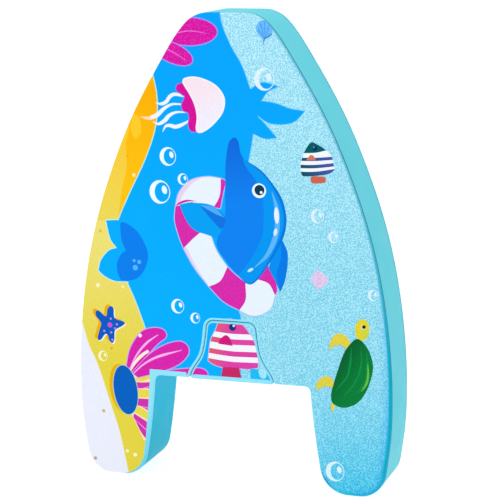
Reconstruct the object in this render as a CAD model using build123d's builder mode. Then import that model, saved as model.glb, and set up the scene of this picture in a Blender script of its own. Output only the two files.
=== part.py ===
from build123d import *
import os

# A child's A-shaped kickboard float of EVA foam, standing upright on its two feet.
# Row frame in mm: X across the board, -Y out of the printed face, +Z up.
# Z = 0 is the bottom of the feet, Y = 0 is the middle of the thickness.

os.makedirs("parts", exist_ok=True)

# Driving dimensions
height = 430.0
thickness = 60.0
skin_t = 2.5
skin_rim_r = 1.8
skin_base_r = 0.4
core_rim_r = 1.3
plug_core_rim_r = 0.8

# Outer outline, right half
top_corner_r = 30.0
top_flat_half = 17.0
top_slope_deg = 45.0
foot_outer_r = 24.0
foot_outer_x = 119.8
foot_lean_deg = -9.0
side_points = [
    (58.2, 394.0),
    (89.4, 340.0),
    (111.5, 290.0),
    (128.6, 240.0),
    (140.2, 190.0),
    (146.9, 140.0),
    (149.3, 95.0),
    (148.4, 58.0),
]

# Notch between the legs, its sides bowed towards the middle
notch_top_z = 98.0
notch_half_top = 74.0
notch_middle = (79.2, 49.0)
notch_low = (88.9, -8.0)
notch_corner_r = 5.0
foot_inner_r = 26.0

# Bell-shaped plug and the opening it fills
plug_top_z = 153.2
plug_top_half = 16.5
plug_shoulder = (23.4, 146.5)
plug_side_points = [(25.7, 130.0), (29.3, 118.5), (35.2, 109.5)]
plug_foot_half = 40.2
plug_proud = 0.6
plug_gap = 0.5
plug_foot_r = 2.4

core_t = thickness - 2 * skin_t

# Planes: sketches on Plane.XZ extrude towards -Y
CORE_BACK = Plane.XZ.offset(-core_t / 2)
FRONT_BASE = Plane.XZ.offset(core_t / 2)
BACK_OUTER = Plane.XZ.offset(-thickness / 2)


def at(cx, cz, r, angle):
    """Point on a circle, in the board's plane."""
    return Vector(cx, cz) + Vector(r, 0).rotate(Axis.Z, angle)


def heading(angle):
    """Unit direction down the side of the board where its outward normal has this angle."""
    return Vector(0, -1).rotate(Axis.Z, angle)


def slab():
    """The board's outer outline without its notch: flat top, convex sides, flat feet."""
    top_z = height - top_corner_r
    top_end = at(top_flat_half, top_z, top_corner_r, top_slope_deg)
    top_mid = at(top_flat_half, top_z, top_corner_r, (top_slope_deg + 90) / 2)
    foot_start = at(foot_outer_x, foot_outer_r, foot_outer_r, foot_lean_deg)
    foot_mid = at(foot_outer_x, foot_outer_r, foot_outer_r, (foot_lean_deg - 90) / 2)
    with BuildSketch() as sketch:
        with BuildLine():
            Line((0, height), (top_flat_half, height))
            ThreePointArc((top_flat_half, height), top_mid, top_end)
            Spline(
                top_end,
                *side_points,
                foot_start,
                tangents=(heading(top_slope_deg), heading(foot_lean_deg)),
            )
            ThreePointArc(foot_start, foot_mid, (foot_outer_x, 0))
            Line((foot_outer_x, 0), (0, 0))
            mirror(about=Plane.YZ)
        make_face()
    return sketch.sketch


def notch():
    """The space between the legs, open at the bottom, with bowed sides and rounded top corners."""
    with BuildSketch() as sketch:
        with BuildLine():
            Line((0, notch_top_z), (notch_half_top, notch_top_z))
            ThreePointArc((notch_half_top, notch_top_z), notch_middle, notch_low)
            Line(notch_low, (0, notch_low[1]))
            mirror(about=Plane.YZ)
        make_face()
        fillet(sketch.vertices().group_by(Axis.Y)[-1].filter_by(lambda v: abs(v.X) > 1), notch_corner_r)
    return sketch.sketch


def bell(grow, foot_z, tail):
    """The plug's bell outline grown by a gap, its flare ending at foot_z, then straight down."""
    shoulder = (plug_shoulder[0] + grow, plug_shoulder[1] + grow)
    side = [(x + grow, z) for x, z in plug_side_points]
    foot = (plug_foot_half + grow, foot_z)
    end = (plug_foot_half + grow, foot_z - tail)
    top_z = plug_top_z + grow
    with BuildSketch() as sketch:
        with BuildLine():
            Line((0, top_z), (plug_top_half, top_z))
            TangentArc((plug_top_half, top_z), shoulder, tangent=(1, 0))
            Spline(shoulder, *side, foot)
            if tail > 0:
                Line(foot, end)
            Line(end, (0, foot_z - tail))
            mirror(about=Plane.YZ)
        make_face()
    return sketch.sketch


def board_face():
    """The board's face with its notch and plug opening."""
    with BuildSketch() as sketch:
        add(slab())
        add(notch(), mode=Mode.SUBTRACT)
        inner_foot = [v for v in sketch.vertices() if abs(v.Y) < 0.01 and abs(v.X) < 92]
        fillet(inner_foot, foot_inner_r)
        add(bell(plug_gap, notch_top_z, 5.0), mode=Mode.SUBTRACT)
        corners = [
            v
            for v in sketch.vertices()
            if abs(v.Y - notch_top_z) < 0.01 and 39 < abs(v.X) < 42
        ]
        fillet(corners, plug_foot_r)
    return sketch.sketch


def plug_face():
    """The plug's face, with rounded bottom corners."""
    with BuildSketch() as sketch:
        add(bell(0, notch_top_z - plug_proud, 0))
        corners = [v for v in sketch.vertices() if abs(v.X) > 39]
        fillet(corners, plug_foot_r)
    return sketch.sketch


# Board core: the thick foam slab
with BuildPart() as board_core:
    with BuildSketch(CORE_BACK):
        add(board_face())
    extrude(amount=core_t)
    fillet(board_core.faces().sort_by(Axis.Y)[0].edges(), core_rim_r)
    fillet(board_core.faces().sort_by(Axis.Y)[-1].edges(), core_rim_r)

# Front skin: printed pebbled sheet with a rounded rim
with BuildPart() as front_skin:
    with BuildSketch(FRONT_BASE):
        add(board_face())
    extrude(amount=skin_t)
    fillet(front_skin.faces().sort_by(Axis.Y)[0].edges(), skin_rim_r)
    fillet(front_skin.faces().sort_by(Axis.Y)[-1].edges(), skin_base_r)

# Back skin: the same sheet on the other face
with BuildPart() as back_skin:
    with BuildSketch(BACK_OUTER):
        add(board_face())
    extrude(amount=skin_t)
    fillet(back_skin.faces().sort_by(Axis.Y)[-1].edges(), skin_rim_r)
    fillet(back_skin.faces().sort_by(Axis.Y)[0].edges(), skin_base_r)

# Plug core: bell-shaped foam block
with BuildPart() as plug_core:
    with BuildSketch(CORE_BACK):
        add(plug_face())
    extrude(amount=core_t)
    fillet(plug_core.faces().sort_by(Axis.Y)[0].edges(), plug_core_rim_r)
    fillet(plug_core.faces().sort_by(Axis.Y)[-1].edges(), plug_core_rim_r)

# Plug skins
with BuildPart() as plug_front_skin:
    with BuildSketch(FRONT_BASE):
        add(plug_face())
    extrude(amount=skin_t)
    fillet(plug_front_skin.faces().sort_by(Axis.Y)[0].edges(), skin_rim_r)
    fillet(plug_front_skin.faces().sort_by(Axis.Y)[-1].edges(), skin_base_r)

with BuildPart() as plug_back_skin:
    with BuildSketch(BACK_OUTER):
        add(plug_face())
    extrude(amount=skin_t)
    fillet(plug_back_skin.faces().sort_by(Axis.Y)[-1].edges(), skin_rim_r)
    fillet(plug_back_skin.faces().sort_by(Axis.Y)[0].edges(), skin_base_r)

board_core.part.label = "board_core"
export_step(board_core.part, "parts/board_core.step")
front_skin.part.label = "front_skin"
export_step(front_skin.part, "parts/front_skin.step")
back_skin.part.label = "back_skin"
export_step(back_skin.part, "parts/back_skin.step")
plug_core.part.label = "plug_core"
export_step(plug_core.part, "parts/plug_core.step")
plug_front_skin.part.label = "plug_front_skin"
export_step(plug_front_skin.part, "parts/plug_front_skin.step")
plug_back_skin.part.label = "plug_back_skin"
export_step(plug_back_skin.part, "parts/plug_back_skin.step")
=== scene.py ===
# A child's A-shaped foam kickboard standing on its two feet: smooth moulded core, pebbled skins,
# a sea print on the front and a small foam plug that slides down out of the crossbar.
import math

import bpy
import numpy as np
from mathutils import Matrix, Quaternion, Vector
from mathutils.geometry import delaunay_2d_cdt


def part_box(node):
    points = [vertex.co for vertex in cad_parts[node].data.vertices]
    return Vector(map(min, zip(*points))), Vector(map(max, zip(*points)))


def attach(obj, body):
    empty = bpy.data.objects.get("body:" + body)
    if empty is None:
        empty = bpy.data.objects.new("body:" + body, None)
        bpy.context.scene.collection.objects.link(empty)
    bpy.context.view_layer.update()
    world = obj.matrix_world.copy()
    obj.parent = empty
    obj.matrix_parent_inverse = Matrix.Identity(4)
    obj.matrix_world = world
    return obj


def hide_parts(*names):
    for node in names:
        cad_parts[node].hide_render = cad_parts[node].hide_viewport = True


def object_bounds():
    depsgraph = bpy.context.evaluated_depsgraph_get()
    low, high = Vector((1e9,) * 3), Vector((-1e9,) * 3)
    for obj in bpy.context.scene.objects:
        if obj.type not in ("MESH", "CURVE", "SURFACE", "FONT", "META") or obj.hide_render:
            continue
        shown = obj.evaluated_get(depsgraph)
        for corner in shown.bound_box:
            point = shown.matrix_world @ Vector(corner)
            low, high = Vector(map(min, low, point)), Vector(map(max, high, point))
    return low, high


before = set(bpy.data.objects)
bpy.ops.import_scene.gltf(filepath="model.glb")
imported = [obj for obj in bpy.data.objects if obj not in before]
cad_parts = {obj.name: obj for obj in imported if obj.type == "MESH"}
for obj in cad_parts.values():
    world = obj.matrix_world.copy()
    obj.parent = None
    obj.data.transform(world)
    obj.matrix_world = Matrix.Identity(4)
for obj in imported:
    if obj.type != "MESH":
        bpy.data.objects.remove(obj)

cad_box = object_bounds()
scene = bpy.context.scene
MM = 0.001

# ---------------------------------------------------------------- colours


def srgb(r, g, b):
    """Linear colour of a screen colour given as 0 to 255."""
    c = np.array([r, g, b], float) / 255
    return np.where(c <= 0.04045, c / 12.92, ((c + 0.055) / 1.055) ** 2.4)


WATER = (0, 164, 249)
WHITE = (234, 244, 252)
BARE_TOP = (176, 232, 249)
BARE = (153, 223, 242)
BARE_LOW = (54, 200, 236)
# painted shade along the lower right edge, where the front's rim turns away
BARE_EDGE_SHADE = (60, 184, 240)
BARE_RIM = (146, 224, 244)
BARE_RIM_LOW = (98, 202, 234)
SKIN_SIDE = (10, 160, 186)
# paler side walls round the plug's gap, painted light against the gap's shade
GAP_SIDE_LIT = (130, 228, 244)
# painted shade for the crease down the front's right edge
CREASE_SHADE = (0, 168, 200)
FOOT_SHADE = (0, 122, 186)
LILAC = (172, 140, 240)
LAVENDER = (230, 232, 245)
CORE_MIDDLE, CORE_DIM, CORE_PALE = (90, 200, 215), (88, 197, 212), (100, 204, 218)
# painted shade in the seam beside the skins
CORE_SEAM_SHADE = (0, 120, 148)
# painted shade for the notch's walls, darker at their foot
NOTCH_FOOT_SHADE, NOTCH_TOP_WALL_SHADE = (0, 168, 192), (0, 188, 218)
BACK_DIM, BACK_PALE = (150, 228, 244), (164, 234, 248)
# painted shade for the grain's valleys and a painted highlight for its crests
VALLEY_SHADE_TINT = (0.55, 0.79, 0.86, 1)
CREST_HIGHLIGHT_TINT = (0.92, 0.97, 1.0, 1)
RIM_GRAIN = 0.25
SIDE_GRAIN = 0.2

# ---------------------------------------------------------------- outlines, in mm on the board

CURVE_STEP, ELLIPSE_STEP = 1.2, 1.3  # longest distance between an outline's points


def run(points, closed):
    """Smooth curve through the points, in short steps."""
    p = np.array([q[:2] for q in points], float)
    n = len(p)
    if closed:
        p = np.vstack([p[-1], p, p[0], p[1]])
    else:
        p = np.vstack([2 * p[0] - p[1], p, 2 * p[-1] - p[-2]])
    gap = np.sqrt(np.linalg.norm(np.diff(p, axis=0), axis=1))
    out = []
    for i in range(1, len(p) - 2):
        a, b = p[i], p[i + 1]
        h = gap[i]
        ma = (b - p[i - 1]) / (gap[i - 1] + h) * h
        mb = (p[i + 2] - a) / (h + gap[i + 1]) * h
        steps = max(2, int(math.ceil(np.linalg.norm(b - a) / CURVE_STEP)))
        for k in range(steps):
            t = k / steps
            out.append(
                (2 * t**3 - 3 * t**2 + 1) * a
                + (t**3 - 2 * t**2 + t) * ma
                + (3 * t**2 - 2 * t**3) * b
                + (t**3 - t**2) * mb
            )
    if not closed:
        out.append(p[n])
    return np.array(out)


def shape(*points):
    """Closed outline through the points. A point with a third value is a corner."""
    corners = [i for i, q in enumerate(points) if len(q) > 2]
    if not corners:
        return run(points, True)
    turned = points[corners[0]:] + points[: corners[0]] + (points[corners[0]],)
    marks = [i for i, q in enumerate(turned) if len(q) > 2]
    parts = []
    for a, b in zip(marks, marks[1:]):
        piece = turned[a: b + 1]
        parts.append(run(piece, False)[:-1])
    return np.vstack(parts)


def ellipse(x, z, rx, rz, tilt=0.0):
    """Ellipse round (x, z), its first axis tilt degrees from +X."""
    count = max(14, int(2 * math.pi * max(rx, rz) / ELLIPSE_STEP))
    t = np.radians(np.linspace(0, 360, count, endpoint=False))
    c, s = math.cos(math.radians(tilt)), math.sin(math.radians(tilt))
    u, v = rx * np.cos(t), rz * np.sin(t)
    return np.column_stack([x + u * c - v * s, z + u * s + v * c])


def ribbon(points, widths):
    """Brush stroke along a smooth line, with its width at each point."""
    line = run(points, False)
    along = np.concatenate([[0], np.cumsum(np.linalg.norm(np.diff(line, axis=0), axis=1))])
    knots = np.linspace(0, along[-1], len(widths))
    w = np.interp(along, knots, widths) / 2
    d = np.gradient(line, axis=0)
    d /= np.linalg.norm(d, axis=1)[:, None]
    side = np.column_stack([-d[:, 1], d[:, 0]]) * w[:, None]
    return np.vstack([line + side, (line - side)[::-1]])


def area2(p):
    """Twice the area of an outline, positive if it runs anticlockwise."""
    x, z = p[:, 0], p[:, 1]
    return float(np.sum(x * np.roll(z, -1) - np.roll(x, -1) * z))


def grown(p, d):
    """The outline moved outward by d, or inward if d is below 0."""
    e = np.roll(p, -1, axis=0) - np.roll(p, 1, axis=0)
    e /= np.maximum(np.linalg.norm(e, axis=1), 1e-9)[:, None]
    side = np.column_stack([e[:, 1], -e[:, 0]])
    if area2(p) < 0:
        side = -side
    return p + side * d


def moved(p, dx, dz):
    """The outline moved as a whole."""
    return p + np.array([dx, dz])


# ---------------------------------------------------------------- the print, painted in order

art = []
PRINT_WIDTH = 0.99
PRINT_LIFT = 0.7


def placed(p):
    """An outline of the print where it lies on the board."""
    return p * np.array([PRINT_WIDTH, 1.0]) + np.array([0.0, PRINT_LIFT])


def paint(outline, colour, grain, within=None, over=None):
    """Adds an outline, or an outer and inner one, in one colour or one that fades over two points.
    over is (first colour, second colour, (x, z) where it starts, (x, z) where it ends)."""
    loops = [placed(p) for p in (outline if isinstance(outline, list) else [outline])]
    within = None if within is None else placed(within)
    art.append({"loops": loops, "ink": colour, "grain": grain, "within": within, "over": over})


def bubble(x, z, r, light=WHITE, grain=0.1):
    """A bubble: a crescent on its left, a thin rim on its right and a glint at its upper right."""
    paint([ellipse(x, z, 0.94 * r, r), ellipse(x + 0.2 * r, z, 0.67 * r, 0.84 * r)], light, grain)
    paint(ellipse(x + 0.42 * r, z + 0.2 * r, 0.23 * r, 0.36 * r, 16), light, grain)


def dot(x, z, r, colour, grain=0.15):
    """A round spot."""
    paint(ellipse(x, z, r, r), colour, grain)


# water, over the whole left and the middle
water = shape(
    (-7, 440, 0), (-4, 420), (4, 401), (14, 384), (22, 363, 0), (33, 369), (48, 366, 0), (38, 361),
    (32, 353, 0), (46, 351), (58, 347), (72, 345, 0), (63, 336), (52, 333), (39, 334), (28, 340, 0),
    (36, 332), (46, 321, 0), (35, 320), (24, 324, 0), (22, 312), (19, 298, 0), (20, 230, 0),
    (8, 164, 0), (10, 156), (8, 130), (9, 109), (13, 80, 0), (-180, 80, 0), (-180, 440, 0),
)
paint(grown(water, 0.7), (120, 204, 246), 0.5)
paint(water, WATER, 0.06, over=((0, 160, 248), (0, 170, 248), (0, 380), (-60, 150)))

# magenta fronds at the top left
for frond in (ellipse(-35.5, 412.5, 27, 12, 0), ellipse(-51, 393.5, 20, 8.5, -21)):
    paint(grown(frond, 0.9), LILAC, 0.3)
    paint(frond, (222, 20, 166), 0.55)
paint(ribbon([(-52, 410), (-34, 413), (-18, 411)], [0.8, 1.2, 0.4]), (236, 110, 206), 0.6)
paint(ribbon([(-62, 399), (-50, 394), (-38, 387)], [0.8, 1.1, 0.4]), (236, 110, 206), 0.6)

# sand down the left side
sand = shape(
    (-72, 380, 0), (-67, 354), (-69, 328), (-80, 298), (-98, 263), (-109, 238), (-111, 215),
    (-102, 186), (-94, 168), (-84, 141), (-78, 120), (-70, 96, 0), (-70, -12, 0), (-190, -12, 0),
    (-190, 380, 0),
)
paint(grown(sand, 0.9), (190, 230, 216), 0.15)
paint(sand, (232, 210, 74), 0.12, over=((252, 192, 0), (232, 210, 84), (-80, 350), (-110, 245)))
paint(
    shape((-72, 380, 0), (-67, 354), (-69, 328), (-80, 298), (-98, 263), (-108, 241, 0),
          (-104, 266), (-98, 290), (-98, 310), (-94, 326, 0), (-110, 350, 0)),
    (250, 184, 0), 0.12, within=sand, over=((250, 172, 0), (246, 192, 12), (-75, 365), (-100, 260)),
)
paint(shape((-90, 338), (-84, 334), (-83, 322), (-89, 316), (-93, 326)), (246, 198, 40), 0.12, within=sand)
lower_sand = shape((-200, 244, 0), (-60, 236, 0), (-60, -12, 0), (-200, -12, 0))
paint(sand, (226, 210, 72), 0.12, within=lower_sand,
      over=((232, 218, 112), (224, 208, 66), (-110, 215), (-100, 110)))
lavender = shape(
    (-147, 142, 0), (-141, 121), (-133, 104), (-120, 64), (-112, 38), (-104, -2, 0), (-104, -12, 0),
    (-190, -12, 0), (-190, 142, 0),
)
paint(grown(lavender, 0.6), (236, 224, 176), 0.12)
paint(lavender, LAVENDER, 0.1)

# a whale's tail in the water, over the sand
tail_leaf = shape(
    (-120, 240, 0), (-108.5, 241, 0), (-96, 236, 0), (-88, 200), (-92, 184, 0), (-101, 184, 0),
    (-113, 184), (-123, 188), (-129, 193, 0), (-126, 203), (-118, 212), (-110, 215, 0), (-116, 223),
)
paint(grown(tail_leaf, 0.9), (200, 234, 216), 0.15)
paint(tail_leaf, (0, 168, 248), 0.06)
tail_root = shape(
    (-107.5, 241, 0), (-97, 262, 0), (-80, 250, 0), (-84, 178, 0), (-93, 170, 0), (-100, 185, 0),
    (-106, 215),
)
paint(tail_root, (0, 168, 248), 0.06)
tail_side = shape(
    (-106, 236, 0), (-105, 239), (-99, 238), (-89, 231), (-82, 220), (-79, 209), (-83, 196),
    (-90, 188), (-99, 185), (-107, 185, 0), (-110, 193), (-110, 201), (-106, 209), (-101, 213, 0),
    (-105, 223),
)
paint(tail_side, (6, 122, 230), 0.06)
for x, z, r in ((-93, 204, 1.5), (-88, 203, 2.0), (-92, 197.5, 2.6)):
    dot(x, z, r, (80, 176, 246), 0.06)

# jellyfish, with no face
for line, widths in (
    ([(-40, 355), (-49, 357), (-54, 355), (-58, 350), (-63, 348), (-68, 349)],
     [1.2, 2.6, 3.2, 3.4, 3.0, 0.5]),
    ([(-41, 348), (-52, 348), (-60, 344), (-67, 338), (-74, 335)],
     [1.2, 1.8, 2.8, 4.0, 3.4]),
    ([(-36, 341), (-48, 341), (-55, 338), (-60, 333), (-66, 330), (-71, 332)],
     [0.8, 1.4, 2.4, 3.8, 3.0, 0.5]),
    ([(-33, 336), (-41, 331), (-49, 328), (-55, 329), (-59, 328), (-62, 323)],
     [1.0, 2.0, 3.2, 3.6, 2.4, 0.4]),
):
    paint(ribbon(line, widths), (234, 238, 248), 0.1)
paint(ribbon([(-73, 335), (-78, 335), (-83, 336)], [3.4, 2.6, 0.6]), (248, 214, 176), 0.1)
skirt = shape(
    (-43, 367, 0), (-47, 365), (-48, 361), (-44, 358), (-40, 355.5, 0), (-41, 352), (-43, 348), (-42, 343),
    (-37, 341, 0), (-36, 336), (-37, 330), (-35, 325), (-31, 324), (-27, 326, 0), (-20, 340), (-28, 360),
)
paint(grown(skirt, 0.8), (130, 120, 240), 0.2)
paint(skirt, (214, 12, 152), 0.35)
bell = shape(
    (-42, 368), (-40, 371.5), (-30, 373), (-18, 370), (-8, 364), (-2, 354), (-4, 342), (-13, 331),
    (-21, 325), (-27, 323), (-30, 326), (-29, 337), (-31, 348), (-36, 358), (-40, 364),
)
paint(bell, (244, 242, 252), 0.1)
paint(grown(bell, -1.1), (240, 228, 240), 0.1,
      over=((242, 222, 232), (236, 232, 246), (-24, 368), (-10, 335)))

# ring buoy
RING_WHITE, RING_MAGENTA = (226, 236, 246), (214, 40, 168)
ring_parts = (
    (shape((-7, 283, 0), (-20, 284), (-36, 280), (-47, 269), (-51, 256, 0), (-44, 258), (-36, 260),
           (-25, 260), (-12, 258, 0), (-8, 270)), RING_WHITE),
    (shape((-7, 283, 0), (-2, 281, 0), (-5, 270), (-8, 256, 0), (-14, 257, 0), (-8, 268)), RING_MAGENTA),
    (shape((-51, 256, 0), (-52, 243), (-48, 228), (-44, 218, 0), (-36, 226), (-28, 233, 0), (-34, 245),
           (-34, 259), (-44, 258)), RING_MAGENTA),
    (shape((-44, 218, 0), (-34, 201), (-20, 184, 0), (-10, 188), (-2, 203, 0), (-12, 217), (-18, 232, 0),
           (-28, 233, 0), (-35, 227)), RING_WHITE),
    (shape((-20, 184, 0), (-6, 171), (9, 164, 0), (16, 172), (16, 189, 0), (6, 196), (-2, 203, 0),
           (-9, 190)), RING_MAGENTA),
    (shape((9, 164, 0), (19, 160), (29, 161), (39, 168), (43, 180, 0), (37, 190), (26, 194, 0),
           (15, 189, 0), (15, 174)), RING_WHITE),
    (shape((43, 180, 0), (45, 185), (42, 200), (36, 207, 0), (24, 194, 0), (37, 190)), RING_MAGENTA),
)
for outline, colour in ring_parts:
    paint(grown(outline, 0.8), (168, 190, 244), 0.2)
for outline, colour in ring_parts:
    paint(outline, colour, 0.3 if colour == RING_MAGENTA else 0.1)
paint(shape((-51, 256, 0), (-47, 269), (-36, 280), (-24, 284, 0), (-35, 277), (-44, 266), (-47, 257, 0)),
      (228, 204, 234), 0.1)
paint(shape((-44, 218, 0), (-34, 201), (-20, 184, 0), (-31, 200), (-41, 219, 0)), (226, 206, 236), 0.1)

# dolphin, with a plain round eye
fin = shape((50, 231, 0), (55, 220), (55, 207), (52, 192), (48, 183, 0), (42, 195), (37, 204, 0), (42, 218))
paint(fin, (0, 118, 224), 0.06)
paint(shape((49, 228, 0), (49, 214), (45, 200), (47, 187, 0), (42, 195), (37, 204, 0), (42, 218)),
      (0, 138, 234), 0.06)
body = shape(
    (1, 315), (6, 320), (10, 317), (12, 307), (15, 301, 0), (21, 298), (32, 291), (42, 280), (50, 268),
    (54, 254), (54, 242), (50, 229), (42, 215), (31, 198), (22, 189), (16, 189), (8, 196), (-3, 208),
    (-12, 224), (-4, 246), (-3, 276), (-2, 298),
)
paint(body, (0, 116, 214), 0.06)
paint(shape((15, 301, 0), (32, 289), (41, 278), (48, 266), (51.5, 254), (51.5, 242), (47, 229), (39, 214),
            (29, 198), (21, 190), (16, 190), (0, 203), (0, 250)), (0, 146, 236), 0.06, within=body)
paint(
    shape((-20, 330, 0), (12, 322, 0), (13, 306), (16, 296), (25, 284), (31, 273), (33, 259), (33, 247),
          (31, 232), (24, 217), (15, 204), (8, 196), (4, 190, 0), (-20, 190, 0)),
    (8, 124, 232), 0.06, within=body, over=((12, 98, 212), (10, 126, 234), (6, 322), (12, 262)),
)
shine = ribbon(
    [(41, 273), (45, 260), (46, 248), (44, 233), (36, 216), (24, 204)], [0.6, 4.0, 4.6, 4.6, 3.2, 0.6]
)
paint(shine, (92, 176, 244), 0.06)
paint(ellipse(45.2, 252, 2.3, 7.4, 3), (224, 234, 250), 0.06)
paint(ellipse(44, 237, 1.7, 3.4, -12), (212, 228, 250), 0.06)
paint(ellipse(20, 201.5, 3.2, 1.3, 30), (190, 224, 252), 0.06)
dot(29, 273.5, 6.6, (232, 242, 250), 0.06)
dot(29.4, 274.0, 4.7, (8, 56, 80), 0.06)
dot(31.0, 272.0, 1.3, (232, 242, 250), 0.06)
flipper = shape((-47, 258, 0), (-36, 260.5), (-32, 260), (-18, 259), (-4, 251, 0), (-3, 247), (-6, 238),
                (-12, 230), (-23, 232), (-33, 235), (-40, 242), (-45, 252))
paint(flipper, (0, 156, 238), 0.06)
paint(shape((-27, 257, 0), (-16, 256), (-4, 249), (-4, 241), (-8, 237, 0), (-15, 244)),
      (10, 112, 220), 0.06)
paint(shape((-27, 258, 0), (-15, 257), (-4, 248, 0), (-13, 251)), (74, 166, 240), 0.06)
paint(shape((-51, 256, 0), (-48, 259.5), (-40, 262.5), (-30, 261.5, 0), (-38, 261), (-46, 258.5)),
      (206, 40, 150), 0.2)

# bubbles in the water and on the bare foam
for x, z, r in ((-57.5, 301, 8.4), (-66, 268.5, 10.7), (-43.5, 281, 5.2), (-51, 164, 6.7), (-34, 154, 5.0)):
    bubble(x, z, r)
for x, z, r in ((35, 372, 10), (83, 253, 6.4), (98, 235, 5.2), (134, 185, 5), (98.6, 21.0, 9.3)):
    bubble(x, z, r, (222, 238, 250), 0.3)
bubble(-127, 112, 5, (240, 240, 216))

# starfish
star = shape(
    (-118, 160), (-115, 158), (-114, 149), (-105, 146), (-104, 144), (-108, 141), (-114, 137), (-115, 128),
    (-117, 125), (-120, 127), (-121.5, 132), (-124, 133), (-129, 127), (-132, 128), (-130, 136),
    (-128, 143), (-133, 150), (-133, 154), (-130, 155), (-123, 150), (-121, 157),
)
paint(moved(star, -2.6, 1.6), (232, 170, 0), 0.12)
paint(moved(star, 0.9, -0.8), (244, 242, 232), 0.12)
paint(star, (4, 88, 190), 0.25)
dot(-119, 142, 2.4, (206, 80, 200))
for x, z in ((-118, 148), (-112, 143), (-114, 139), (-118, 135), (-125, 136), (-117, 128)):
    dot(x, z, 1.1, (176, 140, 228))

# fan coral: rays behind its eye, then the petals
CREAM = (246, 226, 180)
paint(shape((-105, 100, 0), (-70, 104, 0), (-70, 30, 0), (-88, 34, 0), (-99, 57, 0)), CREAM, 0.12)
for ray in (
    shape((-97, 91, 0), (-91, 95.5), (-85, 97.5), (-72, 98, 0), (-72, 93.5, 0), (-81, 93), (-88, 90.5)),
    shape((-97, 81, 0), (-90, 82.5), (-72, 83, 0), (-72, 76, 0), (-84, 75.5), (-96, 74.5, 0)),
    shape((-97, 68, 0), (-85, 62.5), (-72, 56, 0), (-72, 46, 0), (-86, 55), (-97, 60.5, 0)),
):
    paint(ray, (228, 212, 70), 0.12)
for ray in (
    shape((-97, 89.5, 0), (-87, 89.5), (-72, 92, 0), (-72, 84, 0), (-87, 84), (-97, 83, 0)),
    shape((-97, 73.5, 0), (-86, 74), (-72, 74, 0), (-72, 57, 0), (-85, 64), (-97, 69, 0)),
    shape((-97, 59, 0), (-86, 53), (-72, 45, 0), (-72, 26, 0), (-88, 38), (-98, 56, 0)),
):
    paint(ray, (208, 48, 172), 0.3)
for tip in ((-74, 88), (-74, 64), (-80, 40)):
    paint(ribbon([(-100, tip[1] * 0.5 + 36), tip], [0.3, 1.3]), (232, 150, 222), 0.2)
petals = (
    shape((-104, 101, 0), (-99, 121), (-88, 137), (-76, 142), (-66, 141), (-63, 135), (-72, 127),
          (-85, 113), (-98, 99, 0)),
    shape((-98, 98, 0), (-82, 115), (-66, 126), (-50, 131), (-42, 127), (-42, 119), (-52, 109), (-70, 101),
          (-92, 94, 0)),
    shape((-70, 100, 0), (-60, 103), (-42, 106), (-29, 107), (-23, 103), (-28, 98), (-60, 95)),
)
for petal in petals:
    paint(grown(petal, 0.9), (190, 160, 240), 0.2)
for petal in petals:
    paint(petal, (216, 34, 170), 0.35)
for line, widths, colour, grain in (
    ([(-100, 99), (-95, 107.5), (-88, 115), (-81, 120)], [1.0, 2.6, 3.2, 2.6], (248, 232, 214), 0.12),
    ([(-101, 100), (-93, 115), (-83, 127), (-71, 136)], [0.8, 1.6, 2.2, 0.6], (246, 176, 236), 0.15),
    ([(-97, 97), (-86, 107), (-72, 115), (-48, 123)], [0.8, 1.8, 2.4, 0.5], (246, 176, 236), 0.15),
):
    paint(ribbon(line, widths), colour, grain)
eye_of_coral = ellipse(-105, 81, 12, 23.5, 7)
paint(moved(eye_of_coral, -3.8, 1.2), (226, 172, 0), 0.12)
paint(grown(eye_of_coral, 0.5), (176, 214, 224), 0.2)
paint(eye_of_coral, (0, 94, 188), 0.2)
dot(-89, 134, 1.8, (246, 236, 238))

# specks
for x, z, r, colour in (
    (-91, 283, 1.8, (248, 226, 150)), (-126, 230, 1.2, (236, 164, 60)), (-130, 179, 2.0, (244, 238, 190)),
    (-105, 179, 1.3, (244, 238, 180)), (-105, 22, 1.6, (244, 238, 190)), (-97, 19, 1.9, (244, 240, 200)),
    (-128, 59, 1.7, (206, 172, 140)), (-138, 12, 1.8, (200, 164, 130)), (-118, 120, 1.1, (232, 146, 60)),
    (-97, 300, 0.9, (240, 156, 20)),
):
    dot(x, z, r, colour)

# little shells on the bare foam
shell = shape((35, 406, 0), (30, 411), (28, 416), (30, 421), (35, 423), (40, 420), (43, 414), (42, 410))
paint(shell, (104, 184, 248), 0.6)
for x, z in ((30, 415), (32, 420), (36, 422), (40, 419)):
    paint(ribbon([(36, 407), (x, z)], [0.4, 0.8]), (66, 146, 236), 0.6)
paint(ribbon([(43, 411), (39, 409), (35.5, 406.5), (35, 402)], [0.5, 0.9, 0.9, 0.6]), (20, 110, 190), 0.6)
paint(shape((84, 204), (89, 201), (93, 196), (89, 191), (84, 188), (80, 191), (77, 196), (79, 201)),
      (230, 200, 234), 0.6)
paint(ribbon([(84, 208), (84, 196), (83, 185)], [0.5, 2.6, 0.5]), (226, 196, 232), 0.6)

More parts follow.
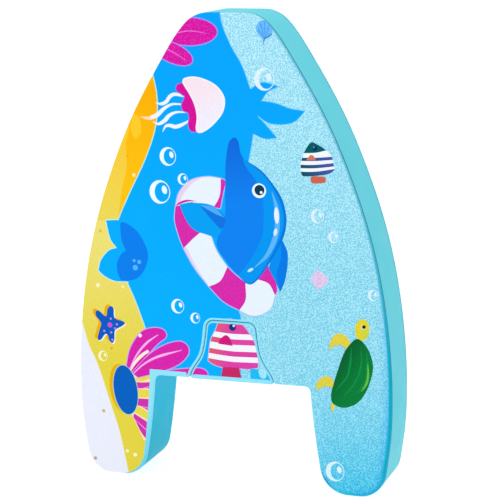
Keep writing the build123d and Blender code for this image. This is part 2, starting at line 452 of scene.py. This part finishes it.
# striped fish
fish = shape(
    (78, 318), (82, 317), (91, 312), (96, 307), (98, 300), (99, 295), (94, 291), (84, 289), (74, 288),
    (69, 289), (68, 298), (70, 306), (74, 314),
)
paint(fish, (238, 242, 248), 0.2)
fish_head = shape((60, 308, 0), (81, 309), (92, 311.5), (105, 313, 0), (105, 330, 0), (60, 330, 0))
paint(fish, (0, 88, 96), 0.2, within=fish_head)
for low, high, rise in ((301.4, 304.2, 2.8), (295.0, 298.0, 3.6), (288.0, 292.0, 4.6)):
    stripe = shape((60, low, 0), (81, low + 0.4), (105, low + rise, 0),
                   (105, high + rise, 0), (81, high + 0.4), (60, high, 0))
    paint(fish, (30, 70, 140), 0.2, within=stripe, over=((0, 80, 96), (70, 82, 160), (69, 296), (92, 300)))
paint(shape((78, 288), (90, 288), (91, 285), (90, 283), (79, 282), (77, 285)), (204, 98, 76), 0.3)
paint(shape((73, 302, 0), (76, 306), (78, 307), (80, 306), (82, 302.5, 0)), (208, 116, 98), 0.3)
dot(81, 313, 2.2, (0, 44, 96), 0.2)
dot(80.2, 313.8, 0.8, (90, 150, 190), 0.2)

# turtle
for outline in (
    shape((93, 133, 0), (95, 141), (98, 147), (104, 149), (109, 147), (113, 141), (114, 136, 0),
          (110, 134, 0), (106, 138), (100, 138)),
    shape((81, 95, 0), (82, 102), (86, 107), (91, 109), (95, 108), (99, 101, 0), (97, 98, 0),
          (92, 100), (86, 98)),
    shape((96, 86, 0), (95, 80), (97, 76, 0), (99, 84, 0)),
):
    paint(moved(outline, -0.8, -0.8), (150, 190, 180), 0.4)
    paint(outline, (226, 206, 66), 0.4)
paint(ellipse(124, 153.5, 6.6, 9.8, -6), (222, 208, 44), 0.25)
paint(ellipse(126.5, 151, 3.4, 6.0, -6), (206, 210, 60), 0.25)
dot(124.6, 155.6, 2.6, (224, 206, 130), 0.2)
dot(125.6, 156.2, 1.6, (24, 26, 24), 0.2)
back = shape(
    (119, 145), (125, 142), (131, 133), (134, 121), (132, 109), (127, 96), (119, 86), (107, 81), (97, 84),
    (95, 91), (97, 101), (102, 117), (107, 131), (113, 140),
)
paint(back, (0, 108, 48), 0.3, over=((0, 90, 44), (2, 122, 54), (98, 120), (118, 108)))
for line, widths in (
    ([(114, 137), (113, 123), (110, 110), (99, 96)], [0.4, 2.0, 1.6, 0.4]),
    ([(123, 137), (123, 122), (119, 108), (107, 91)], [0.4, 1.8, 1.6, 0.4]),
    ([(128, 133), (129, 121), (127, 106), (118, 94)], [0.4, 3.0, 2.6, 0.4]),
):
    paint(ribbon(line, widths), (8, 138, 66), 0.3)
paint(ribbon([(129, 123), (129.5, 114), (128, 105), (123, 97)], [0.4, 1.8, 2.0, 0.4]), (104, 186, 58), 0.3)

# the plug's striped fish and drips
plug_fish = shape(
    (-11, 153, 0), (0, 155), (9, 153, 0), (14, 148), (18, 143), (22, 137), (25, 127), (26, 119),
    (26, 112, 0), (18, 110), (9, 110), (0, 110), (-9, 110), (-17, 112), (-22, 115, 0), (-21, 124),
    (-19, 135), (-14, 145),
)
paint(shape((9, 155.5, 0), (9, 140), (10, 103), (11, 90, 0), (60, 90, 0), (60, 155.5, 0)), BARE, 1.0)
paint(grown(plug_fish, 0.7), (190, 190, 240), 0.2)
paint(plug_fish, (238, 240, 250), 0.1)
for low, high, colour in (
    (142.3, 175, (220, 66, 158)), (132.2, 137.2, (222, 66, 158)), (121.2, 126.0, (220, 62, 158)),
    (100, 116.2, (222, 62, 164)),
):
    band = shape(
        (-30, low + 2.2, 0), (-11, low + 0.2), (2, low - 0.6), (14, low - 0.3), (30, low + 0.2, 0),
        (30, high + 0.2, 0), (14, high - 0.3), (2, high - 0.6), (-11, high + 0.2), (-30, high + 2.2, 0),
    )
    paint(plug_fish, colour, 0.25, within=band, over=((222, 92, 108), colour, (-18, 136), (-2, 134)))
paint(shape((-8, 110, 0), (-9, 105), (-11, 96, 0), (11, 96, 0), (9, 105), (8, 110.5, 0)),
      (198, 38, 98), 0.3)
paint(shape((-12, 131.5, 0), (-10, 136), (-5, 140), (-1, 138), (2, 130.5, 0), (-5, 131)),
      (204, 24, 122), 0.2)
dot(2, 147.8, 3.4, (12, 52, 116), 0.1)
dot(3.2, 149.2, 1.1, (226, 236, 250), 0.1)
pool = shape(
    (19, 110), (23, 110.5), (26, 110), (27, 106), (30, 102.5), (33, 106), (36, 106), (39, 102),
    (39, 94, 0), (19, 94, 0),
)
paint(pool, (24, 184, 242), 0.3)
paint(ellipse(30.5, 106.5, 3.6, 4.6, 20), (166, 230, 246), 0.6)

# the bare border's square corner at the top left of the notch
paint(np.array([(-80.2, 90), (-80.2, 102.8), (-64, 102.8), (-64, 90)]), BARE_RIM, RIM_GRAIN)

# ---------------------------------------------------------------- the printed skins

# in mm, as on the CAD model
FRONT = cad_box[0].y / MM
RIM = 1.8  # radius of a skin's outer edge
SKIN = 2.5  # thickness of a skin
BASE_R = 0.4  # radius of a skin's inner edge
OPENING_HALF, OPENING_TOP = 43, 160  # a box round the plug's opening
NOTCH_HALF, NOTCH_TOP = 106, 98.2  # a box round the notch

LONGEST_STEP = 3.0  # along an outline
RIM_ANGLES = (18, 36, 54, 72, 90)
EDGE_RINGS = (3.0, 4.4)  # outlines inside the rim that carry the edge's shading
GRID, GRID_MARGIN = 5.0, 6.5  # plain corners inside, and how far they stay from the edge
PRINT_MARGIN = 40  # how far the print's outlines run on past a skin
MERGE = 1e-3  # corners nearer than this become one
CREASE_SHADE_CALM = 0.75  # how much of the grain the painted crease shade takes away


def ramp(value, start, end):
    """0 at start and 1 at end, held beyond them."""
    return np.clip((value - start) / (end - start), 0, 1)


def inside(points, loop):
    """Which points lie inside a closed loop."""
    hit = np.zeros(len(points), bool)
    lo, hi = loop.min(0), loop.max(0)
    near = np.where(((points >= lo) & (points <= hi)).all(1))[0]
    if not len(near):
        return hit
    x, z = points[near, 0][:, None], points[near, 1][:, None]
    a, b = loop, np.roll(loop, -1, axis=0)
    crosses = (a[:, 1] > z) != (b[:, 1] > z)
    rise = np.where(np.abs(b[:, 1] - a[:, 1]) < 1e-12, 1e-12, b[:, 1] - a[:, 1])
    left = x < (b[:, 0] - a[:, 0]) * (z - a[:, 1]) / rise + a[:, 0]
    hit[near] = (crosses & left).sum(1) % 2 == 1
    return hit


def nearest(points, loop):
    """Distance from each point to a closed loop, and the nearest place on it."""
    a, b = loop, np.roll(loop, -1, axis=0)
    ab = b - a
    length2 = np.maximum((ab**2).sum(1), 1e-12)
    best, place = np.empty(len(points)), np.empty((len(points), 2))
    batch = 3000
    for start in range(0, len(points), batch):
        p = points[start: start + batch]
        t = np.clip(((p[:, None] - a) * ab).sum(2) / length2, 0, 1)
        foot = a + t[:, :, None] * ab
        d2 = ((p[:, None] - foot) ** 2).sum(2)
        k = d2.argmin(1)
        rows = np.arange(len(p))
        best[start: start + batch] = np.sqrt(d2[rows, k])
        place[start: start + batch] = foot[rows, k]
    return best, place


def outer_loop(node, level):
    """The node's outline in mm, from its vertices at one depth, in order and in short steps."""
    mesh = node.data
    co = np.array([v.co for v in mesh.vertices]) / MM
    key = {}
    ids = [key.setdefault(tuple(np.round(c, 2)), len(key)) for c in co]
    at = dict(zip(ids, co))
    links = {}
    for e in mesh.edges:
        i, j = ids[e.vertices[0]], ids[e.vertices[1]]
        if i != j and abs(at[i][1] - level) < 0.01 and abs(at[j][1] - level) < 0.01:
            links.setdefault(i, set()).add(j)
            links.setdefault(j, set()).add(i)
    start = min(links)
    order, last, here = [start], None, start
    while True:
        ahead = [k for k in sorted(links[here]) if k != last]
        if not ahead or ahead[0] in order:
            break
        last, here = here, ahead[0]
        order.append(here)
    loop = np.array([at[i][[0, 2]] for i in order])
    if area2(loop) < 0:
        loop = loop[::-1]
    out = []
    for a, b in zip(loop, np.roll(loop, -1, axis=0)):
        steps = max(1, int(math.ceil(np.linalg.norm(b - a) / LONGEST_STEP)))
        out += [a + (b - a) * k / steps for k in range(steps)]
    return np.array(out)


def drawn(loop, border):
    """A skin's flat drawing: corners, and triangles that follow its rim, bare border and print."""
    points, edges = [], []

    def add(outline):
        """Adds a whole outline, closed."""
        base, count = len(points), len(outline)
        points.extend(outline)
        edges.extend((base + i, base + (i + 1) % count) for i in range(count))

    def add_some(outline, good):
        """Adds an outline's good points, joined where neighbours are both good."""
        index = {}
        for i in np.where(good)[0]:
            index[i] = len(points)
            points.append(outline[i])
        for i in index:
            j = (i + 1) % len(outline)
            if j in index:
                edges.append((index[i], index[j]))

    add(loop)
    for depth in (*(RIM * (1 - math.cos(math.radians(angle))) for angle in RIM_ANGLES), *EDGE_RINGS):
        ring = grown(loop, -depth)
        add_some(ring, nearest(ring, loop)[0] > depth * 0.995)
    wide = border(loop)
    ring = grown(loop, -wide[:, None])
    add_some(ring, (wide > 0) & (nearest(ring, loop)[0] > wide * 0.98))
    lo, hi = loop.min(0) - 3, loop.max(0) + 3
    for layer in art:
        masks = [] if layer["within"] is None else [layer["within"]]
        for outline in layer["loops"] + masks:
            if (outline.max(0) >= lo).all() and (outline.min(0) <= hi).all():
                add(np.clip(outline, lo - PRINT_MARGIN, hi + PRINT_MARGIN))
    gx, gz = np.meshgrid(np.arange(lo[0], hi[0], GRID), np.arange(lo[1], hi[1], GRID))
    grid = np.column_stack([gx.ravel(), gz.ravel()])
    grid = grid[inside(grid, loop)]
    points.extend(grid[nearest(grid, loop)[0] > GRID_MARGIN])
    made = delaunay_2d_cdt([Vector((float(q[0]), float(q[1]))) for q in points], edges, [], 0, MERGE)
    verts = np.array([(v.x, v.y) for v in made[0]])
    tris = np.array([t for t in made[2] if len(t) == 3])
    tris = tris[inside(verts[tris].mean(1), loop)]
    a, b, c = (verts[tris[:, k]] for k in range(3))
    tris = tris[np.abs(np.cross(b - a, c - a)) > 1e-7]
    used = np.unique(tris)
    renumbered = np.full(len(verts), -1)
    renumbered[used] = np.arange(len(used))
    return verts[used], renumbered[tris]


def inked(verts, tris, depth, loop, border):
    """The colour at each triangle's corners, with the strength of the grain as its alpha."""
    corner, centre = verts[tris], verts[tris].mean(1)
    across, up, inward = corner[:, :, :1], corner[:, :, 1:], depth[tris][:, :, None]
    away, place = nearest(centre, loop)
    ink = np.ones((len(tris), 3, 4))
    ink[:, :, :3] = srgb(*BARE)

    def blend(part, colour):
        """Lays a colour over what is there, in part."""
        ink[:, :, :3] += part * (srgb(*colour) - ink[:, :, :3])

    # bare foam: paler at the top, deeper towards the right foot, with painted shade along its lower right
    # edge and a painted shade line for the crease down the right edge
    blend(ramp(up, 180, 400), BARE_TOP)
    blend(ramp(up, 150, 0) ** 1.6 * ramp(across, 10, 100), BARE_LOW)
    # painted shade along the lower right edge, where the rim turns away
    blend(ramp(inward, 9, 0) * ramp(across, 110, 120) * ramp(up, 200, 50), BARE_EDGE_SHADE)
    # painted shade line for the crease down the right edge, where the front skin meets the core
    right_edge = (place[:, 0] > 100)[:, None, None] | ((centre[:, 0] > 40)[:, None, None] & (up > 200))
    width = np.interp(up, [20, 120, 200, 260], [3.8, 3.2, 2.4, 1.9])
    crease_shade = np.clip((width - inward) / 1.6, 0, 1) * right_edge
    crease_shade = crease_shade * np.interp(up, [0, 25, 130, 330], [0.55, 1.0, 1.0, 0.6])
    blend(crease_shade, CREASE_SHADE)
    ink[:, :, 3:] -= CREASE_SHADE_CALM * crease_shade
    corner_of_foot = ramp(up, 24, 16) * ramp(up, 0, 6) * ramp(across, 100, 92) * ramp(across, 60, 65)
    blend(ramp(inward, 3.4, 1.4) * corner_of_foot, FOOT_SHADE)

    for layer in art:
        hit = np.zeros(len(tris), bool)
        for outline in layer["loops"]:
            hit ^= inside(centre, outline)
        if layer["within"] is not None:
            hit &= inside(centre, layer["within"])
        if not hit.any():
            continue
        if layer["over"]:
            first, second, start, end = layer["over"]
            start, end = np.array(start, float), np.array(end, float)
            way = end - start
            t = np.clip(((corner[hit] - start) @ way) / (way @ way), 0, 1)[:, :, None]
            ink[hit, :, :3] = srgb(*first) + t * (srgb(*second) - srgb(*first))
        else:
            ink[hit, :, :3] = srgb(*layer["ink"])
        ink[hit, :, 3] = layer["grain"]

    bare = away < border(place)
    ink[bare, :, :3] = srgb(*BARE_RIM) + ramp(up[bare], 70, 0) * (srgb(*BARE_RIM_LOW) - srgb(*BARE_RIM))
    ink[bare, :, 3] = RIM_GRAIN
    return ink


def printed_skin(node_name, name, border, material):
    """A skin with the rounded rim of its CAD node, whose faces follow the print's outlines."""
    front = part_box(node_name)[0].y / MM
    loop = outer_loop(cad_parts[node_name], front + RIM)
    verts, tris = drawn(loop, border)
    depth, foot = nearest(verts, loop)
    ink = inked(verts, tris, depth, loop, border)

    # level and normal of each corner, round the rim
    cos = 1 - np.minimum(depth, RIM) / RIM
    sin = np.sqrt(np.maximum(0, 1 - cos**2))
    out = foot - verts
    size = np.linalg.norm(out, axis=1)
    side = grown(loop, 1.0) - loop
    on_edge = size < 0.05
    out[~on_edge] /= size[~on_edge][:, None]
    out[on_edge] = side[[((loop - v) ** 2).sum(1).argmin() for v in verts[on_edge]]]
    xyz = np.column_stack([verts[:, 0], front + RIM * (1 - sin), verts[:, 1]])
    normal = np.column_stack([out[:, 0] * cos, -sin, out[:, 1] * cos])

    # side wall, rounded base and back
    rows = [[int(((verts - q) ** 2).sum(1).argmin()) for q in loop]]
    back = front + SKIN
    for inset, level, turn in ((0, back - BASE_R, 0), (0.12, back - 0.12, 45), (BASE_R, back, 90)):
        p = grown(loop, -inset)
        rows.append(range(len(xyz), len(xyz) + len(loop)))
        xyz = np.vstack([xyz, np.column_stack([p[:, 0], np.full(len(p), level), p[:, 1]])])
        c, s = math.cos(math.radians(turn)), math.sin(math.radians(turn))
        normal = np.vstack([normal, np.column_stack([side[:, 0] * c, np.full(len(p), s), side[:, 1] * c])])
    faces = [tuple(int(i) for i in t) for t in tris]
    for upper, lower in zip(rows, rows[1:]):
        for i in range(len(loop)):
            j = (i + 1) % len(loop)
            faces.append((upper[i], lower[i], lower[j], upper[j]))
    faces.append(tuple(reversed(rows[-1])))

    mesh = bpy.data.meshes.new(name)
    mesh.from_pydata((xyz * MM).tolist(), [], faces)
    mesh.validate()
    for f in mesh.polygons:
        f.use_smooth = True
    values = np.tile(np.append(srgb(*SKIN_SIDE), SIDE_GRAIN), (len(mesh.loops), 1))
    # painted light: the skins' side walls round the plug's gap are paler than elsewhere, to lighten the gap's
    # shade
    at = xyz[[corner.vertex_index for corner in mesh.loops]]
    in_gap = (np.abs(at[:, 0]) < OPENING_HALF) & (at[:, 2] < OPENING_TOP)
    values[in_gap] = np.append(srgb(*GAP_SIDE_LIT), SIDE_GRAIN)
    values[: 3 * len(tris)] = ink.reshape(-1, 4)
    colours = mesh.color_attributes.new(name="ink", type="FLOAT_COLOR", domain="CORNER")
    colours.data.foreach_set("color", values.astype(np.float32).ravel())
    mesh.normals_split_custom_set_from_vertices([Vector(v) for v in normal])
    mesh.update()
    obj = bpy.data.objects.new(name, mesh)
    scene.collection.objects.link(obj)
    obj.data.materials.append(material)
    return obj


# ---------------------------------------------------------------- materials

GRAIN_SCALE = 860.0  # pebbles of about a millimetre
# on the core, in metres
CORE_HALF = 0.0275
SEAM_SHADE_START, SEAM_SHADE_END = 0.0247, 0.0265  # depth over which the painted shade of the seam beside a skin darkens
NOTCH_FAR, NOTCH_NEAR = 0.110, 0.102  # across, where the painted shade on the notch's walls fades in
NOTCH_ABOVE, NOTCH_BELOW = 0.1, 0.0985  # the same, upward
NOTCH_SHADE_TOP = 0.085


def tree(name):
    """A new material with its shader, and a function that adds a node."""
    material = bpy.data.materials.new(name)
    material.use_nodes = True
    nodes, links = material.node_tree.nodes, material.node_tree.links
    shader = nodes["Principled BSDF"]

    def node(kind, inputs=(), **settings):
        """Adds a node. An input is a value or another node's socket."""
        made = nodes.new(kind)
        for key, value in settings.items():
            setattr(made, key, value)
        for key, value in dict(inputs).items():
            if isinstance(value, bpy.types.NodeSocket):
                links.new(value, made.inputs[key])
            else:
                made.inputs[key].default_value = value
        return made

    return material, shader, node, links


def maths(node, operation, a, b=0.0):
    """One sum on two values."""
    return node("ShaderNodeMath", {0: a, 1: b}, operation=operation).outputs[0]


def mix(node, factor, a, b, blend_type="MIX"):
    """Colour a, with colour b over it by a factor."""
    return node("ShaderNodeMixRGB", {0: factor, 1: a, 2: b}, blend_type=blend_type).outputs[0]


def remap(node, value, low, high, to_low=0.0, to_high=1.0):
    """A value's range stretched to another, and held beyond it."""
    return node(
        "ShaderNodeMapRange",
        {"Value": value, "From Min": low, "From Max": high, "To Min": to_low, "To Max": to_high},
    ).outputs[0]


def noise(node, where, scale, detail):
    """Soft noise from 0 to 1."""
    return node("ShaderNodeTexNoise", {"Vector": where, "Scale": scale, "Detail": detail}).outputs["Fac"]


def rgba(colour):
    """A screen colour as a shader takes it."""
    return (*srgb(*colour), 1)


def pebbles(node, where):
    """The moulded leather-like grain: 0 in its winding valleys, and 1 on its crests only."""
    swell = noise(node, where, GRAIN_SCALE, 0.0)
    return remap(node, swell, 0.37, 0.53), remap(node, swell, 0.53, 0.68)


def skin_material(name, printed):
    """Pebbled EVA skin, in the print's colours or plain."""
    material, shader, node, links = tree(name)
    where = node("ShaderNodeTexCoord").outputs["Object"]
    grain, crest = pebbles(node, where)
    if printed:
        attribute = node("ShaderNodeAttribute", attribute_name="ink")
        base, strength = attribute.outputs["Color"], attribute.outputs["Alpha"]
    else:
        cloud = remap(node, noise(node, where, 9.0, 3.0), 0.35, 0.65)
        base = mix(node, cloud, rgba(BACK_DIM), rgba(BACK_PALE))
        strength = remap(node, grain, 0, 1, 0.9, 1.0)
    # painted shade in the grain's valleys, and a painted highlight on its crests
    valley_shade = maths(node, "MULTIPLY", maths(node, "SUBTRACT", 1.0, grain), strength)
    valley_shaded = mix(node, valley_shade, base, VALLEY_SHADE_TINT, "MULTIPLY")
    crest_highlight = maths(
        node, "MULTIPLY", maths(node, "MULTIPLY", crest, 0.12), maths(node, "POWER", strength, 3.0)
    )
    links.new(mix(node, crest_highlight, valley_shaded, CREST_HIGHLIGHT_TINT), shader.inputs["Base Color"])
    wear = noise(node, where, 26.0, 4.0)
    links.new(remap(node, wear, 0.3, 0.7, 0.46, 0.62), shader.inputs["Roughness"])
    shader.inputs["Specular IOR Level"].default_value = 0.04
    height = maths(node, "MULTIPLY", grain, remap(node, strength, 0, 1, 0.12, 1.0))
    bump = node("ShaderNodeBump", {"Strength": 0.5, "Distance": 0.0006, "Height": height})
    links.new(bump.outputs[0], shader.inputs["Normal"])
    return material


def core_material(name):
    """Smooth moulded EVA: soft bands across its depth, painted shade in the seam beside the skins, and
    painted shade on the notch's walls, darker at their foot.
    """
    material, shader, node, links = tree(name)
    where = node("ShaderNodeTexCoord").outputs["Object"]
    axes = node("ShaderNodeSeparateXYZ", {"Vector": where}).outputs
    depth = maths(node, "ABSOLUTE", axes["Y"])
    # painted shade in the groove along the seam beside each skin
    seam_shade = remap(node, depth, SEAM_SHADE_START, SEAM_SHADE_END)
    cloud = remap(node, noise(node, where, 14.0, 3.0), 0.35, 0.65)
    tone = mix(node, cloud, rgba(CORE_DIM), rgba(CORE_PALE))
    outward = maths(node, "POWER", remap(node, depth, 0.0, CORE_HALF), 2.0)
    banded = mix(node, outward, rgba(CORE_MIDDLE), tone)
    seam_shaded = mix(node, maths(node, "MULTIPLY", seam_shade, 0.9), banded, rgba(CORE_SEAM_SHADE))
    # painted shade on the notch's walls, darker towards their foot
    beside = remap(node, maths(node, "ABSOLUTE", axes["X"]), NOTCH_FAR, NOTCH_NEAR)
    in_notch = maths(node, "MULTIPLY", beside, remap(node, axes["Z"], NOTCH_ABOVE, NOTCH_BELOW))
    notch_shade = mix(node, remap(node, axes["Z"], 0.0, NOTCH_SHADE_TOP), rgba(NOTCH_FOOT_SHADE), rgba(NOTCH_TOP_WALL_SHADE))
    links.new(mix(node, in_notch, seam_shaded, notch_shade), shader.inputs["Base Color"])
    wear = noise(node, where, 40.0, 4.0)
    links.new(remap(node, wear, 0.3, 0.7, 0.42, 0.56), shader.inputs["Roughness"])
    shader.inputs["Specular IOR Level"].default_value = 0.08
    cells = node("ShaderNodeTexVoronoi", {"Vector": where, "Scale": 1100.0}).outputs["Distance"]
    bump = node("ShaderNodeBump", {"Strength": 0.12, "Distance": 0.0003, "Height": cells})
    links.new(bump.outputs[0], shader.inputs["Normal"])
    return material


printed = skin_material("printed_foam_skin", True)
plain = skin_material("plain_foam_skin", False)
core = core_material("moulded_foam_core")
for node_name, material in (
    ("board_core", core), ("plug_core", core), ("back_skin", plain), ("plug_back_skin", plain),
):
    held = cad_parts[node_name].data.materials
    held.clear()
    held.append(material)

# ---------------------------------------------------------------- pieces


def board_border(p):
    """Width of the board's bare border: broad on the notch's left, narrow on its right and round the plug."""
    across, up = np.abs(p[:, 0]), p[:, 1]
    broad = np.interp(up, [0, 14, 60, 98], [1.2, 3.4, 4.8, 5.2])
    notch = np.where((across < NOTCH_HALF) & (up < NOTCH_TOP), np.where(p[:, 0] < 0, broad, 1.3), 0.0)
    return np.where((across < OPENING_HALF) & (up < OPENING_TOP), 2.3, notch)


def plug_border(p):
    """Width of the plug's bare border: broad along its foot."""
    return np.interp(p[:, 1], [98.5, 103], [4.4, 1.8])


front_print = printed_skin("front_skin", "front_skin_print", board_border, printed)
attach(front_print, "board")
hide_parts("front_skin")
plug_print = printed_skin("plug_front_skin", "plug_skin_print", plug_border, printed)
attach(plug_print, "plug")
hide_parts("plug_front_skin")

# ---------------------------------------------------------------- floor, light and camera

FLOOR_HALF = 20
floor_mesh = bpy.data.meshes.new("floor")
floor_mesh.from_pydata(
    [(x * FLOOR_HALF, y * FLOOR_HALF, 0) for x, y in ((-1, -1), (1, -1), (1, 1), (-1, 1))], [], [(0, 1, 2, 3)]
)
floor = bpy.data.objects.new("floor", floor_mesh)
scene.collection.objects.link(floor)
floor.location.z = cad_box[0].z - 0.0002  # just clear of the feet
paper, paper_shader, _, _ = tree("paper")
for socket, value in (
    ("Base Color", (0.35, 0.35, 0.352, 1)), ("Emission Color", (1, 1, 1, 1)), ("Emission Strength", 0.85),
    ("Roughness", 0.9), ("Specular IOR Level", 0.0),
):
    paper_shader.inputs[socket].default_value = value
floor_mesh.materials.append(paper)

world = bpy.data.worlds.new("studio")
scene.world = world
world.use_nodes = True
world.node_tree.nodes["Background"].inputs["Color"].default_value = (1, 1, 1, 1)
world.node_tree.nodes["Background"].inputs["Strength"].default_value = 0.84


def lamp(name, place, aim, size, power):
    """A round soft light, turned towards aim."""
    data = bpy.data.lights.new(name, "AREA")
    data.shape = "DISK"
    data.size = size
    data.energy = power
    made = bpy.data.objects.new(name, data)
    scene.collection.objects.link(made)
    made.location = place
    made.rotation_mode = "QUATERNION"
    made.rotation_quaternion = (Vector(aim) - Vector(place)).to_track_quat("-Z", "Y")


middle = (cad_box[0] + cad_box[1]) / 2
lamp("key", (-1.3, -1.9, 1.9), middle, 1.2, 8)
lamp("fill", (1.7, -1.4, 0.9), middle, 1.4, 1)
lamp("top", (0.1, 0.5, 2.4), middle, 1.0, 14)

AZIMUTH, ELEVATION, ROLL = math.radians(18.83), math.radians(11.35), math.radians(-0.74)
DISTANCE = 1.576
TARGET = Vector((0.0196, FRONT * MM, 0.2204))
camera_data = bpy.data.cameras.new("camera")
camera_data.sensor_width = 36
camera_data.lens = 127.58
camera_data.clip_start, camera_data.clip_end = 0.05, 100
camera = bpy.data.objects.new("camera", camera_data)
scene.collection.objects.link(camera)
scene.camera = camera
back_way = Vector(
    (math.sin(AZIMUTH) * math.cos(ELEVATION), -math.cos(AZIMUTH) * math.cos(ELEVATION), math.sin(ELEVATION))
)
camera.location = TARGET + back_way * DISTANCE
camera.rotation_mode = "QUATERNION"
camera.rotation_quaternion = (-back_way).to_track_quat("-Z", "Y") @ Quaternion((0, 0, 1), ROLL)

scene.view_settings.view_transform = "Standard"
